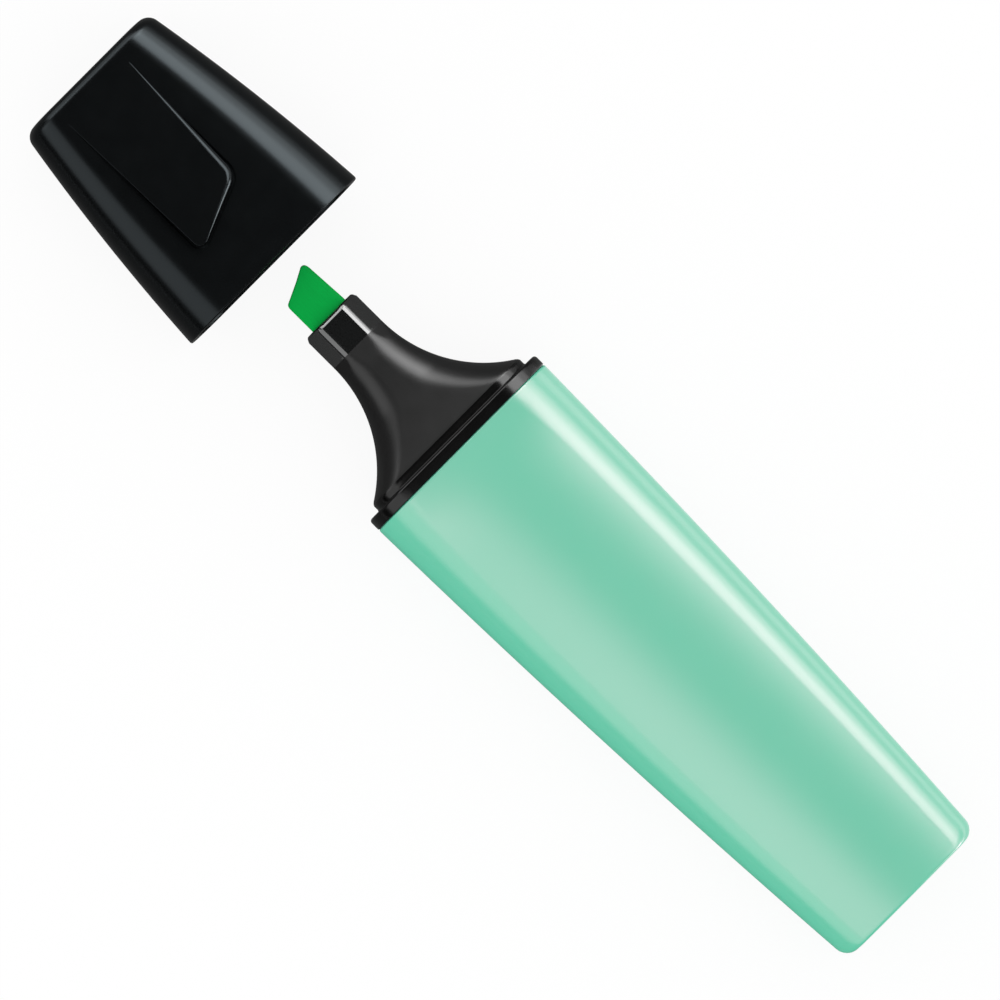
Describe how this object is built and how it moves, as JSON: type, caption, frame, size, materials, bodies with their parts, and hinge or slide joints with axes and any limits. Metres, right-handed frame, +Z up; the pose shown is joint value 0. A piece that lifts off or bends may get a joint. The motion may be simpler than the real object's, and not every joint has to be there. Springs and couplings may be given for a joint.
{
  "type": "highlighter",
  "caption": "Flat wedge-shaped highlighter pen with a flared nose, a chisel fibre nib, a fibre ink reservoir, and a pull-off cap with a clip and an inner sealing cup.",
  "frame": {"origin": "on the surface the pen lies on, under the middle of the whole length with the cap pulled off as in the picture", "axes": "+X along the pen towards the nib and the cap, +Z up out of the broad face that carries the cap's clip, +Y across the pen"},
  "size_m": [0.1342, 0.027, 0.0167],
  "materials": {
    "barrel_plastic": "satin moulded polypropylene, pastel mint",
    "nose_plastic": "satin moulded polypropylene, black",
    "nib_fibre": "bonded polyester fibre, soaked with green ink",
    "reservoir_fibre": "bundled polyester fibre, soaked with ink",
    "film_plastic": "clear polypropylene film",
    "cap_plastic": "semi-gloss moulded polypropylene, black",
    "seal_plastic": "natural polyethylene"
  },
  "bodies": {
    "pen": {"barrel": "barrel_plastic", "nose": "nose_plastic", "nib": "nib_fibre", "ink_reservoir": "reservoir_fibre", "reservoir_film": "film_plastic"},
    "cap": {"cap": "cap_plastic", "inner_cap": "seal_plastic"}
  },
  "joints": [
    {"name": "cap_pull", "type": "slide", "parent": "pen", "child": "cap", "axis": [1, 0, 0], "range_m": [-0.0289, 0]}
  ]
}
